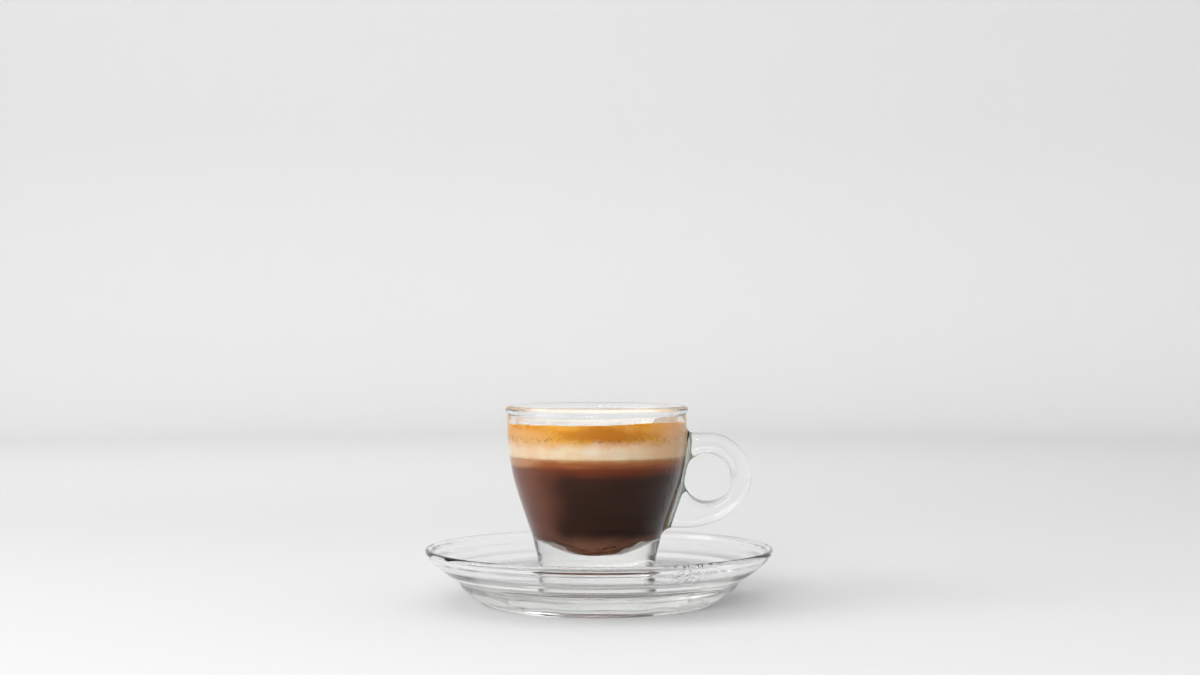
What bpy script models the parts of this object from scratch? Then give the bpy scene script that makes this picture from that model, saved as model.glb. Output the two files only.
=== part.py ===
"""Espresso macchiato in a clear glass cup with a ring handle, standing on a stepped glass saucer.

The origin is at the middle of the saucer's foot, on the table. +Z is up and the handle points along +X.
The drink is four layers, one solid each. From the bottom up they are espresso, coffee mixed with milk,
milk foam and crema.
Glass, layers and saucer keep a small gap to each other, so that no two solids share a face.
"""

import math

import bmesh
import bpy
from mathutils import Matrix, Vector
from mathutils.geometry import interpolate_bezier

MM = 0.001
GAP = 0.3 * MM

# Driving dimensions of the cup, with heights from its own base
CUP_RIM_RADIUS = 32.0 * MM
CUP_HEIGHT = 61.0 * MM
CUP_FOOT_RADIUS = 20.0 * MM
RIM_BEAD_RADIUS = 1.45 * MM
RIM_BEAD_STARTS = 190.0
RIM_BEAD_ENDS = -60.0
FOOT_EDGE_RADIUS = 0.9 * MM
CUP_OFFSET_X = -0.8 * MM

# The outer wall between the foot's edge and the rim's bead, and the bowl inside, as (radius, height)
OUTER_WALL = [
    (20.55, 5.7), (20.9, 8.5), (21.3, 10.4), (21.75, 12.0), (22.1, 13.4), (22.4, 14.8), (22.85, 16.4),
    (23.75, 18.9), (25.3, 23.4), (27.5, 30.0), (29.4, 36.7), (30.55, 43.3), (31.1, 47.8), (31.35, 52.2),
    (31.4, 56.0), (31.3, 57.5),
]
BOWL = [
    (0.0, 11.3), (4.0, 11.7), (8.0, 13.0), (11.0, 14.3), (14.4, 16.0), (16.8, 18.0), (18.9, 20.8),
    (21.2, 25.2), (23.7, 30.6), (25.9, 36.6), (27.4, 42.6), (28.35, 49.6), (28.8, 54.0), (29.0, 57.2),
]

# Ring handle, in the plane through the cup's axis
RING_CENTRE = (38.9 * MM, 36.4 * MM)
RING_RADIUS = 15.1 * MM
HOLE_CENTRE = (38.6 * MM, 35.9 * MM)
HOLE_RADIUS = 8.3 * MM
HANDLE_THICKNESS = 7.6 * MM
HANDLE_ROUNDING = 2.7 * MM
TAIL_LEAVES_RING = -48.0
TAIL_HEIGHT = 18.3 * MM
TAIL_LEVEL_FROM = 32.0 * MM
HANDLE_ROOT = 18.0 * MM
HANDLE_EDGE_STEPS = 2
RING_POINTS = 20
HOLE_POINTS = 32

# Tops of the drink's layers, with heights from the cup's base
ESPRESSO_TOP = 40.3 * MM
MIXED_TOP = 43.7 * MM
FOAM_TOP = 49.6 * MM
CREMA_TOP = 54.8 * MM
CREMA_CLIMB = 1.3 * MM
CREMA_CLIMB_TOWARDS = -40.0
CREMA_CLIMB_STEEPNESS = 6
CREMA_RIPPLE = 0.12 * MM
CREMA_LOBES = 5
CREMA_RINGS = 6

# Driving dimensions of the saucer, with heights from the table
SAUCER_RADIUS = 60.8 * MM
SAUCER_LIP_HEIGHT = 18.2 * MM
SAUCER_LIP_RADIUS = 1.1 * MM
WELL_RADIUS = 22.6 * MM
WELL_FLOOR = 7.5 * MM
DISH_SURFACE = [
    (23.6, 8.4), (33.0, 8.7), (44.0, 9.3), (49.6, 10.4), (51.6, 12.1), (53.2, 12.6), (54.8, 13.4),
    (56.6, 15.0), (58.3, 17.2),
]
DISH_UNDERSIDE = [
    (59.7, 16.5), (58.2, 14.7), (53.4, 10.8), (49.8, 8.3), (49.0, 7.4), (47.7, 5.6), (44.9, 3.2),
    (42.0, 1.7), (40.4, 1.2),
]
FOOT_RING_OUTSIDE = 40.0 * MM
FOOT_RING_INSIDE = 36.4 * MM
FOOT_RING_EDGE = 0.6 * MM
FOOT_RECESS = 2.6 * MM
FOOT_RECESS_SLOPE = 1.0 * MM

GLASS_STEPS = 64
DRINK_STEPS = 48


def clear_scene():
    for obj in list(bpy.data.objects):
        bpy.data.objects.remove(obj)


def make_collection(name):
    collection = bpy.data.collections.new(name)
    bpy.context.scene.collection.children.link(collection)
    return collection


def principled(name, colour, roughness, transmission=0.0, ior=1.5):
    material = bpy.data.materials.new(name)
    material.use_nodes = True
    shader = material.node_tree.nodes["Principled BSDF"]
    shader.inputs["Base Color"].default_value = (*colour, 1.0)
    shader.inputs["Roughness"].default_value = roughness
    shader.inputs["Metallic"].default_value = 0.0
    shader.inputs["Transmission Weight"].default_value = transmission
    shader.inputs["IOR"].default_value = ior
    return material


def glass_material():
    return principled("clear glass", (1.0, 1.0, 1.0), 0.0, transmission=1.0)


def espresso_material():
    return principled("espresso", (0.042, 0.019, 0.013), 0.15)


def milky_coffee_material():
    return principled("coffee with milk", (0.3, 0.11, 0.045), 0.25)


def milk_foam_material():
    return principled("milk foam", (0.8, 0.56, 0.34), 0.5)


def crema_material():
    return principled("crema", (0.6, 0.28, 0.07), 0.4)


def in_metres(points):
    return [(radius * MM, height * MM) for radius, height in points]


def arc(centre, radius, start, end, count):
    """Points on an arc, from the start angle to the end angle in degrees, both ends included."""
    angles = [math.radians(start + (end - start) * i / (count - 1)) for i in range(count)]
    return [(centre[0] + radius * math.cos(a), centre[1] + radius * math.sin(a)) for a in angles]


def smooth_through(points, per_span):
    """A Catmull-Rom curve through the points, with this many steps between each two."""
    ends = [2 * Vector(points[0]) - Vector(points[1]), 2 * Vector(points[-1]) - Vector(points[-2])]
    p = [ends[0]] + [Vector(q) for q in points] + [ends[1]]
    found = []
    for i in range(1, len(p) - 2):
        leave, arrive = (p[i + 1] - p[i - 1]) / 6, (p[i + 2] - p[i]) / 6
        span = interpolate_bezier(p[i], p[i] + leave, p[i + 1] - arrive, p[i + 1], per_span + 1)
        found += [tuple(q) for q in span[:-1]]
    return found + [tuple(points[-1])]


def radius_at(curve, height):
    """The radius of a wall at a height, read from its curve, which rises from point to point."""
    for (r0, z0), (r1, z1) in zip(curve, curve[1:]):
        if height <= z1:
            return r0 + (r1 - r0) * max(height - z0, 0.0) / (z1 - z0)
    return curve[-1][0]


def turned(name, profile, material, collection, steps=GLASS_STEPS):
    """A solid turned about Z, from a profile that leaves the axis at the top and runs down the outside."""
    mesh = bpy.data.meshes.new(name)
    edges = [(i, i + 1) for i in range(len(profile) - 1)]
    mesh.from_pydata([(radius, 0.0, height) for radius, height in profile], edges, [])
    mesh.materials.append(material)
    obj = bpy.data.objects.new(name, mesh)
    collection.objects.link(obj)
    screw = obj.modifiers.new("Turn", "SCREW")
    screw.axis = "Z"
    screw.angle = 2 * math.pi
    screw.steps = steps
    screw.render_steps = steps
    screw.use_merge_vertices = True
    screw.merge_threshold = 0.00001
    screw.use_smooth_shade = True
    return obj


def mesh_of(obj):
    """The object's mesh as evaluated, with loose caps and seams welded and its faces pointing out."""
    bpy.context.view_layer.update()
    evaluated = obj.evaluated_get(bpy.context.evaluated_depsgraph_get())
    mesh = bpy.data.meshes.new_from_object(evaluated)
    work = bmesh.new()
    work.from_mesh(mesh)
    bmesh.ops.remove_doubles(work, verts=work.verts, dist=0.000001)
    bmesh.ops.recalc_face_normals(work, faces=work.faces)
    work.to_mesh(mesh)
    work.free()
    return mesh


def as_mesh_object(obj, name, collection):
    """Replaces an object by its evaluated mesh, which a Boolean can use."""
    mesh = mesh_of(obj)
    made = bpy.data.objects.new(name, mesh)
    made.matrix_world = obj.matrix_world
    collection.objects.link(made)
    bpy.data.objects.remove(obj)
    return made


def make_helper(obj):
    obj.hide_render = True
    obj.display_type = "WIRE"


def add_boolean(obj, other, operation):
    boolean = obj.modifiers.new(operation.title(), "BOOLEAN")
    boolean.operation = operation
    boolean.solver = "EXACT"
    boolean.object = other


def bowl_curve(per_span):
    return smooth_through(in_metres(BOWL), per_span)


def outer_curve(per_span):
    return smooth_through(in_metres(OUTER_WALL), per_span)


def cup_profile():
    """The cup's section: up the bowl, over the rounded rim, down the outer wall and in under the base."""
    rim_centre = (CUP_RIM_RADIUS - RIM_BEAD_RADIUS, CUP_HEIGHT - RIM_BEAD_RADIUS)
    rim = arc(rim_centre, RIM_BEAD_RADIUS, RIM_BEAD_STARTS, RIM_BEAD_ENDS, 9)
    foot_centre = (CUP_FOOT_RADIUS - FOOT_EDGE_RADIUS, FOOT_EDGE_RADIUS)
    foot = arc(foot_centre, FOOT_EDGE_RADIUS, 0, -90, 4)
    return bowl_curve(1) + rim + list(reversed(outer_curve(1))) + foot + [(0.0, 0.0)]


def handle_outline():
    """The ring, and the web that joins it to the cup, level at the top and swept into a tail below."""
    ring = arc(RING_CENTRE, RING_RADIUS, 90, TAIL_LEAVES_RING, RING_POINTS)
    end = Vector(ring[-1])
    angle = math.radians(TAIL_LEAVES_RING)
    along = Vector((math.sin(angle), -math.cos(angle)))
    level = Vector((TAIL_LEVEL_FROM, TAIL_HEIGHT))
    reach = (end - level).length / 3
    tail = interpolate_bezier(end, end + along * reach, level + Vector((reach, 0)), level, 8)
    outline = ring + [tuple(p) for p in tail[1:]]
    return outline + [(HANDLE_ROOT, TAIL_HEIGHT), (HANDLE_ROOT, RING_CENTRE[1] + RING_RADIUS)]


def flat_spline(curve, points):
    spline = curve.splines.new("POLY")
    spline.points.add(len(points) - 1)
    for point, (x, y) in zip(spline.points, points):
        point.co = (x, y, 0.0, 1.0)
    spline.use_cyclic_u = True


def draw_handle(collection, material):
    """The handle as a flat plate with a round hole and well rounded edges, standing in the plane Y = 0."""
    curve = bpy.data.curves.new("handle", "CURVE")
    curve.dimensions = "2D"
    curve.fill_mode = "BOTH"
    curve.extrude = HANDLE_THICKNESS / 2 - HANDLE_ROUNDING
    curve.bevel_depth = HANDLE_ROUNDING
    curve.bevel_resolution = HANDLE_EDGE_STEPS
    curve.offset = -HANDLE_ROUNDING
    curve.materials.append(material)
    flat_spline(curve, handle_outline())
    flat_spline(curve, arc(HOLE_CENTRE, HOLE_RADIUS, 0, 360, HOLE_POINTS + 1)[:-1])
    drawn = bpy.data.objects.new("handle_drawn", curve)
    drawn.matrix_world = Matrix.Rotation(math.pi / 2, 4, "X")
    collection.objects.link(drawn)
    return as_mesh_object(drawn, "handle_blank", collection)


def make_wall_core(collection, material):
    """A solid that reaches out to the middle of the cup's wall, where the handle's root ends."""
    bowl = bowl_curve(1)
    outer = outer_curve(1)
    profile = [(0.0, CUP_HEIGHT)]
    for radius, height in reversed(outer):
        profile.append(((radius + radius_at(bowl, height)) / 2, height))
    core = turned("wall_core", profile + [(0.0, outer[0][1])], material, collection)
    make_helper(core)
    return core


def make_handle(collection, material):
    """The handle, trimmed so that its root ends inside the cup's wall."""
    handle = draw_handle(collection, material)
    add_boolean(handle, make_wall_core(collection, material), "DIFFERENCE")
    make_helper(handle)
    return handle


def layer_profile(bottom, top, rings=1):
    """The section of a layer of the drink between two heights, clear of the glass by the gap."""
    wall = [(max(radius - GAP, 0.0), height + GAP) for radius, height in bowl_curve(1)]
    edge = radius_at(wall, top)
    surface = [(edge * i / rings, top) for i in range(rings + 1)]
    side = [p for p in reversed(wall) if bottom < p[1] < top]
    if bottom > wall[0][1]:
        side += [(radius_at(wall, bottom), bottom), (0.0, bottom)]
    return surface + side


def make_layer(name, bottom, top, material, collection):
    return turned(name, layer_profile(bottom, top), material, collection, DRINK_STEPS)


def crema_height(x, y):
    """How far the crema stands above its level, as it climbs the wall on one side and ripples a little."""
    reach = math.hypot(x, y) / CUP_RIM_RADIUS
    around = math.atan2(y, x)
    facing = max(math.cos(around - math.radians(CREMA_CLIMB_TOWARDS)), 0.0)
    climb = CREMA_CLIMB * facing**2 * reach**CREMA_CLIMB_STEEPNESS
    ripple = CREMA_RIPPLE * math.sin(CREMA_LOBES * around) * reach**2
    return climb + ripple


def make_crema(collection, material):
    """The crema is turned as a flat disc first, and then its upper surface takes its relief."""
    profile = layer_profile(FOAM_TOP + GAP, CREMA_TOP, CREMA_RINGS)
    flat = turned("crema_flat", profile, material, collection, DRINK_STEPS)
    crema = as_mesh_object(flat, "crema", collection)
    for vertex in crema.data.vertices:
        if vertex.co.z > CREMA_TOP - GAP:
            vertex.co.z += crema_height(vertex.co.x, vertex.co.y)
    return crema


def make_drink(collection):
    """The layers, each one running right through the drink."""
    return [
        make_layer("espresso", 0.0, ESPRESSO_TOP, espresso_material(), collection),
        make_layer("coffee_with_milk", ESPRESSO_TOP + GAP, MIXED_TOP, milky_coffee_material(), collection),
        make_layer("milk_foam", MIXED_TOP + GAP, FOAM_TOP, milk_foam_material(), collection),
        make_crema(collection, crema_material()),
    ]


def make_cup(collection, helpers, material):
    """The turned cup, with the handle joined to it as one piece of glass."""
    cup = turned("glass_cup", cup_profile(), material, collection)
    add_boolean(cup, make_handle(helpers, material), "UNION")
    return cup


def foot_ring():
    """The ring that the saucer stands on, from its outer edge in to the recess under the well."""
    outside, inside, edge = FOOT_RING_OUTSIDE, FOOT_RING_INSIDE, FOOT_RING_EDGE
    recess_edge = inside - FOOT_RECESS_SLOPE
    return [
        (outside, edge), (outside - edge, 0.0), (inside + edge, 0.0), (inside, edge),
        (recess_edge, FOOT_RECESS), (0.0, FOOT_RECESS),
    ]


def saucer_profile():
    """The saucer's section: the well, the stepped dish, the rounded lip, the underside and the foot ring."""
    lip_centre = (SAUCER_RADIUS - SAUCER_LIP_RADIUS, SAUCER_LIP_HEIGHT)
    lip = arc(lip_centre, SAUCER_LIP_RADIUS, 150, -60, 8)
    well = [(0.0, WELL_FLOOR), (WELL_RADIUS, WELL_FLOOR)]
    return well + in_metres(DISH_SURFACE) + lip + in_metres(DISH_UNDERSIDE) + foot_ring()


def make_saucer(collection, material):
    return turned("saucer", saucer_profile(), material, collection)


def make_stand(collection):
    """An empty in the saucer's well, which carries the cup and all that belongs to it."""
    stand = bpy.data.objects.new("cup_stand", None)
    stand.location = (CUP_OFFSET_X, 0.0, WELL_FLOOR + GAP)
    collection.objects.link(stand)
    return stand


def main():
    clear_scene()
    parts = make_collection("espresso_macchiato")
    helpers = make_collection("helpers")
    glass = glass_material()
    make_saucer(parts, glass)
    stand = make_stand(parts)
    carried = [make_cup(parts, helpers, glass)] + make_drink(parts) + list(helpers.objects)
    for obj in carried:
        obj.parent = stand


main()
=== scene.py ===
"""Espresso macchiato in a clear glass cup on a glass saucer: the dressed model, its light and its camera."""
import math
import random

import bmesh
import bpy
import numpy as np
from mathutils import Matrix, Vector, noise
from mathutils.geometry import interpolate_bezier


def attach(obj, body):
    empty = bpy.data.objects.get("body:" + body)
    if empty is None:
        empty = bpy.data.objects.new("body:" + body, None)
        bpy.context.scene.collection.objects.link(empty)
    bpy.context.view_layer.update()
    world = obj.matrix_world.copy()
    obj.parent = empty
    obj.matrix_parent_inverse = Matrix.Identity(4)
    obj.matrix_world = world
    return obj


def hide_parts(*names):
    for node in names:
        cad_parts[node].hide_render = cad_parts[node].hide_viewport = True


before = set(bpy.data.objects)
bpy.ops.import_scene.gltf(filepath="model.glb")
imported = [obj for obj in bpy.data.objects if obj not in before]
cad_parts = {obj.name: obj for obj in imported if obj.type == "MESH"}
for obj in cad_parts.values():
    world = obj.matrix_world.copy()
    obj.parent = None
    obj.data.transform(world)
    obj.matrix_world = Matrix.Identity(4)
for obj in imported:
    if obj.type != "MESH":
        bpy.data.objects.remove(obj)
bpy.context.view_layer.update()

MM = 0.001

# Lengths that count as none, and the angle in degrees from which an edge stays sharp
TINY = 1e-9
ON_AXIS = 0.0001 * MM
SHARP_ANGLE = 50.0

# Where the cup stands in the saucer
CUP_X = -0.8 * MM
CUP_BASE = 7.8 * MM

# The cup, with heights from its own base. Angles on the rim's bead start at its outer side.
CUP_RIM_RADIUS = 32.0 * MM
CUP_HEIGHT = 61.0 * MM
CUP_FOOT_RADIUS = 20.0 * MM
FOOT_EDGE_RADIUS = 0.9 * MM
RIM_BEAD_RADIUS = 1.45 * MM
RIM_OUTER_END = -60
RIM_CREST = 90
RIM_INNER_END = 190
OUTER_WALL = [
    (20.55, 5.7), (20.9, 8.5), (21.3, 10.4), (21.75, 12.0), (22.1, 13.4), (22.4, 14.8), (22.85, 16.4),
    (23.75, 18.9), (25.3, 23.4), (27.5, 30.0), (29.4, 36.7), (30.55, 43.3), (31.1, 47.8), (31.35, 52.2),
    (31.4, 56.0), (31.3, 57.5),
]
BOWL = [
    (0.0, 11.3), (4.0, 11.7), (8.0, 13.0), (11.0, 14.3), (14.4, 16.0), (16.8, 18.0), (18.9, 20.8),
    (21.2, 25.2), (23.7, 30.6), (25.9, 36.6), (27.4, 42.6), (28.35, 49.6), (28.8, 54.0), (29.0, 57.2),
]

# The net of faces that is drawn onto the cup's outline
CUP_NET = 0.5 * MM
CUP_NET_ROUNDS = 2
WELD_DISTANCE = 0.01 * MM
POINTS_AT_ONCE = 20000

# The ring handle
RING_CENTRE = (38.9 * MM, 36.4 * MM)
RING_RADIUS = 15.1 * MM
RING_TOP = 90
HOLE_CENTRE = (38.6 * MM, 35.9 * MM)
HOLE_RADIUS = 8.3 * MM
HANDLE_THICKNESS = 7.6 * MM
HANDLE_ROUNDING = 2.7 * MM
HANDLE_FILLET = 2.6 * MM
HANDLE_FACE_FILLET = 3.4 * MM
TAIL_LEAVES_RING = -48.0
TAIL_HEIGHT = 18.3 * MM
TAIL_LEVEL_FROM = 32.0 * MM
TAIL_POINTS = 24
HANDLE_ROOT = 18.0 * MM

# The drink's layers, with heights from the cup's base
ESPRESSO_TOP = 40.3 * MM
MIXED_TOP = 43.7 * MM
FOAM_TOP = 49.6 * MM
CREMA_TOP = 54.8 * MM
INTO_GLASS = 0.12 * MM
NEAR_LEVEL = 0.1 * MM
DRINK_STEPS = 160

# The crema's free surface
CREMA_CLIMB = 1.3 * MM
CREMA_CLIMB_TOWARDS = -40.0
CREMA_CLIMB_STEEPNESS = 6
CREMA_RIPPLE = 0.12 * MM
CREMA_LOBES = 5
CREMA_UNEVEN = 0.15 * MM
CREMA_UNEVEN_SCALE = 260.0
CREMA_RINGS = 24
CREMA_RING_GAP = 0.2 * MM
MENISCUS_WIDTH = 1.2 * MM
MENISCUS_HEIGHT = 0.3 * MM
MENISCUS_RINGS = 6
ON_SURFACE = 0.01 * MM
FACES_UP = 0.3

# The pale mark of foam on it, from the cup's middle
MARK_CENTRE = (-1.0 * MM, -3.0 * MM)
MARK_SIZE = 26.5 * MM
MARK_DEPTH = 30.0 * MM

# The uneven bottom of the bowl
WAVE_TOP = 19.0 * MM
WAVE_FADE = 5.0 * MM
WAVE_HEIGHT = 0.35 * MM
WAVE_BROAD = 150.0
WAVE_FINE_HEIGHT = 0.26 * MM
WAVE_FINE = 480.0

# A grey-green slab where the handle meets the cup. It paints the band that refraction of the cup's wall
# shows through the handle's neck.
JOINT_FROM = 18.6 * MM
JOINT_TO = 50.6 * MM
JOINT_WIDTH = 8.4 * MM
JOINT_DEPTH = 2.2 * MM
JOINT_INWARD = 0.7 * MM
JOINT_FROM_HOLE = 0.25 * MM
JOINT_ROWS = 40
JOINT_COLUMNS = 24
JOINT_ROUND_ENDS = 8
JOINT_END_WIDTH = 0.02

# How strongly the painted band shows: clearest in the middle of its width, up to one share of it, and full
# from another
JOINT_CLEAR_TO = 0.2
JOINT_FULL_FROM = 0.42
JOINT_CLEAREST = 0.25
JOINT_BAND_STRENGTH = 0.88
JOINT_BAND_STREAKS = 0.1

# Bubbles, most of them along the wall. Shares of a bubble's own radius say how deep it sits.
BUBBLE_SEED = 7
BUBBLE_COUNT = 90
BUBBLE_RADII = (0.25 * MM, 0.7 * MM)
BUBBLE_SHRINK = (0.5, 1.0)
BUBBLES_AT_WALL = 0.75
BUBBLE_FROM_WALL = (1.0, 2.5)
BUBBLE_REACH = 0.9
BUBBLE_RISE = (-0.35, 0.15)

# The film of crema that was left on the wall
FILM_FROM = -52.0
FILM_TO = 24.0
FILM_STEPS = 96
FILM_ROWS = 8
FILM_HEIGHT = 3.9 * MM
FILM_BELOW_SURFACE = 0.3 * MM
FILM_LEAST = 0.2 * MM
FILM_RAGGED = 0.5 * MM
FILM_RAGGED_BROAD = 5.0
FILM_RAGGED_FINE = 17.0
FILM_ROUND_ENDS = 6
FILM_OFF_WALL = 0.05 * MM
FILM_RIM_TO = 150
FILM_THINNEST = 0.4
FILM_THICKEST = 0.75

# The saucer
SAUCER_RADIUS = 60.8 * MM
SAUCER_LIP_HEIGHT = 18.2 * MM
SAUCER_LIP_RADIUS = 1.1 * MM
SAUCER_LIP_FROM = 150
SAUCER_LIP_TO = -60
SAUCER_STEPS = 192
WELL_RADIUS = 22.6 * MM
WELL_FLOOR = 7.5 * MM
WELL_EDGE = 1.0 * MM
DISH_SURFACE = [
    (23.6, 8.4), (33.0, 8.7), (44.0, 9.3), (49.6, 10.4), (51.6, 12.1), (53.2, 12.6), (54.8, 13.4),
    (56.6, 15.0), (58.3, 17.2),
]
DISH_UNDERSIDE = [
    (59.7, 16.5), (58.2, 14.7), (53.4, 10.8), (49.8, 8.3), (49.0, 7.4), (47.7, 5.6), (44.9, 3.2),
    (42.0, 1.7), (40.4, 1.2),
]
FOOT_RING_OUTSIDE = 40.0 * MM
FOOT_RING_INSIDE = 36.4 * MM
FOOT_RING_EDGE = 0.6 * MM
FOOT_RECESS = 2.6 * MM
FOOT_RECESS_SLOPE = 1.0 * MM

# Clear glass. Noise scales are in cycles a metre.
GLASS_INDEX = 1.5
GLASS_REFLECTION = (0.2, 0.2, 0.2)
GLASS_TINT = (0.915, 0.92, 0.905)
GLASS_DENSITY = 20.0
CUP_WAVES = 70.0
CUP_WAVE_HEIGHT = 0.06 * MM
SAUCER_WAVES = 65.0
SAUCER_WAVE_HEIGHT = 0.3 * MM
GLINT_GRAIN = 700.0
GLINT_STRENGTH = 1.2

# Two uneven places in the saucer's glass, each a centre and a size in metres
UNEVEN_SAUCER = [
    ((0.030, -0.051, 0.0160), (0.010, 0.012, 0.004)),
    ((0.031, -0.026, 0.0035), (0.011, 0.014, 0.004)),
]

# Coffee against glass. The ratio of their refractive indices lies a little above the real 0.89, which keeps
# the mirror near the sides, and a strong coat stands for total reflection.
LIQUID_INDEX = 1.33
CREMA_INDEX = 1.36
COFFEE_IN_GLASS = 0.93
MIRROR_COAT = 4.0
MIRROR_ROUGHNESS = 0.03

# Light that foam and crema scatter inside
FOAM_SCATTER = 0.35
FOAM_SCATTER_RADIUS = (1.0, 0.6, 0.3)
FOAM_SCATTER_SCALE = 2.0 * MM

# Colours of the espresso and the brown layer, in linear light
ESPRESSO_DARK = (0.028, 0.0105, 0.0065)
ESPRESSO_PALE = (0.052, 0.020, 0.012)
# Painted light: the espresso's foot is paler where light comes up through the glass base
ESPRESSO_FOOT_PAINTED_LIGHT = (0.54, 0.23, 0.13)
# Painted light: paler patches of the espresso at the front left and low front left, where the light from the
# left falls
ESPRESSO_PAINTED_LIGHT = (0.24, 0.080, 0.046)
ESPRESSO_LOW_PAINTED_LIGHT = (0.27, 0.100, 0.062)
RED_BROWN = (0.19, 0.045, 0.018)
BROWN_DARK = (0.30, 0.080, 0.027)
BROWN_PALE = (0.46, 0.17, 0.062)
BROWN_TOP = (0.62, 0.34, 0.14)
# Painted light: a paler patch of the brown layer at the front left, where the light from the left falls
BROWN_PAINTED_LIGHT = (0.60, 0.32, 0.16)

# Colours of the foam and the crema
FOAM_DARK = (0.95, 0.71, 0.47)
FOAM_PALE = (0.98, 0.83, 0.62)
FOAM_BRIGHT = (1.0, 0.87, 0.68)
FOAM_TAN = (0.93, 0.60, 0.32)
FOAM_FOOT = (0.66, 0.38, 0.17)
CREMA_DARK = (0.70, 0.275, 0.020)
CREMA_PALE = (0.90, 0.465, 0.062)
CREMA_CLOUD = (0.88, 0.48, 0.12)
CREMA_MIDDLE = (0.56, 0.195, 0.015)
CREMA_BEIGE = (0.95, 0.56, 0.27)
CREMA_TAN = (0.85, 0.465, 0.16)
CREMA_SPECKS = (0.2, 0.055, 0.01)

# Colours of the free surface, its bubbles, the film on the wall, and the painted refraction band at the
# handle's joint
SURFACE_CLOUD = (0.86, 0.64, 0.42)
SURFACE_MILK = (0.86, 0.70, 0.52)
SURFACE_MILKINESS = 0.35
SURFACE_MARK = (0.93, 0.86, 0.75)
SURFACE_SPECKS = (0.36, 0.12, 0.02)
BUBBLE_DARK = (0.42, 0.17, 0.04)
BUBBLE_PALE = (0.78, 0.46, 0.17)
FILM_DARK = (0.55, 0.37, 0.22)
FILM_PALE = (0.70, 0.52, 0.36)
JOINT_DARK = (0.73, 0.83, 0.79)
JOINT_PALE = (0.84, 0.93, 0.91)

# The studio's floor, in metres. It lies a hair below the saucer, because glass that shares its plane with
# the floor turns black.
FLOOR_GAP = 0.1 * MM
FLOOR_RADIUS = 1.1
FLOOR_BEND = 0.3
FLOOR_WALL_TOP = 0.75
FLOOR_STEPS = 128
FLOOR_GREY = 0.61

# The standing cards: how far away they are, and how far the dark zone reaches up and down from a card's
# middle, as a share of its height
CARD_DISTANCE = 0.9
CARD_ZONE_HEIGHT = 0.7

# How brightly the room above the floor lights matt things, and how bright it looks in the glass. Towards
# the left it looks brighter, and that fades in between two values of the direction's x.
SKY_LIGHT = 0.95
SKY_SEEN = 0.6
SKY_SEEN_LEFT = 1.0
SKY_LEFT_FROM = -0.25
SKY_LEFT_TO = -0.8

# The camera, where the photo's own stood
CAMERA_PLACE = (0.3 * MM, -0.7, 96.5 * MM)
CAMERA_PITCH = 0.0056
CAMERA_LENS = 60.0
CAMERA_SENSOR = 36.0


# Curves

def in_metres(points):
    """Points of (radius, height) in millimetres, turned into metres."""
    return [(radius * MM, height * MM) for radius, height in points]


def arc(centre, radius, start, end, count):
    """This many points on an arc from one angle to another, in degrees."""
    angles = [math.radians(start + (end - start) * i / (count - 1)) for i in range(count)]
    return [(centre[0] + radius * math.cos(a), centre[1] + radius * math.sin(a)) for a in angles]


def smooth_through(points, per_span):
    """A smooth curve through the points, with this many steps between each two."""
    ends = [2 * Vector(points[0]) - Vector(points[1]), 2 * Vector(points[-1]) - Vector(points[-2])]
    p = [ends[0]] + [Vector(q) for q in points] + [ends[1]]
    found = []
    for i in range(1, len(p) - 2):
        leave, arrive = (p[i + 1] - p[i - 1]) / 6, (p[i + 2] - p[i]) / 6
        span = interpolate_bezier(p[i], p[i] + leave, p[i + 1] - arrive, p[i + 1], per_span + 1)
        found += [tuple(q) for q in span[:-1]]
    return found + [tuple(points[-1])]


def radius_at(curve, height):
    """The radius where a rising curve of (radius, height) passes this height."""
    for (r0, z0), (r1, z1) in zip(curve, curve[1:]):
        if height <= z1:
            return r0 + (r1 - r0) * max(height - z0, 0.0) / (z1 - z0)
    return curve[-1][0]


def bowl_curve():
    return smooth_through(in_metres(BOWL), per_span=6)


def rim_arc(start, end, count):
    centre = (CUP_RIM_RADIUS - RIM_BEAD_RADIUS, CUP_HEIGHT - RIM_BEAD_RADIUS)
    return arc(centre, RIM_BEAD_RADIUS, start, end, count)


def outside_of_cup():
    """From the rim's crest down the outer wall and in under the base."""
    foot_centre = (CUP_FOOT_RADIUS - FOOT_EDGE_RADIUS, FOOT_EDGE_RADIUS)
    wall = smooth_through(in_metres(OUTER_WALL), per_span=6)
    foot = arc(foot_centre, FOOT_EDGE_RADIUS, 0, -90, count=7)
    return rim_arc(RIM_CREST, RIM_OUTER_END, count=15) + wall[::-1] + foot + [(0.0, 0.0)]


def inside_of_cup():
    """From the bowl's middle up to the rim's crest."""
    return bowl_curve() + rim_arc(RIM_INNER_END, RIM_CREST, count=11)


def handle_outline():
    """The ring from its top round to where the tail leaves it, the tail, and back inside the cup's wall."""
    ring = arc(RING_CENTRE, RING_RADIUS, RING_TOP, TAIL_LEAVES_RING, count=60)
    end = Vector(ring[-1])
    angle = math.radians(TAIL_LEAVES_RING)
    along = Vector((math.sin(angle), -math.cos(angle)))
    level = Vector((TAIL_LEVEL_FROM, TAIL_HEIGHT))
    reach = (end - level).length / 3
    tail = interpolate_bezier(end, end + along * reach, level + Vector((reach, 0)), level, TAIL_POINTS)
    outline = ring + [tuple(p) for p in tail[1:]]
    return outline + [(HANDLE_ROOT, TAIL_HEIGHT), (HANDLE_ROOT, RING_CENTRE[1] + RING_RADIUS)]


# Distances, for a smooth glass cup with its handle flowing into the wall

def unit(vectors):
    return vectors / np.maximum(np.linalg.norm(vectors, axis=1), TINY)[:, None]


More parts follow.
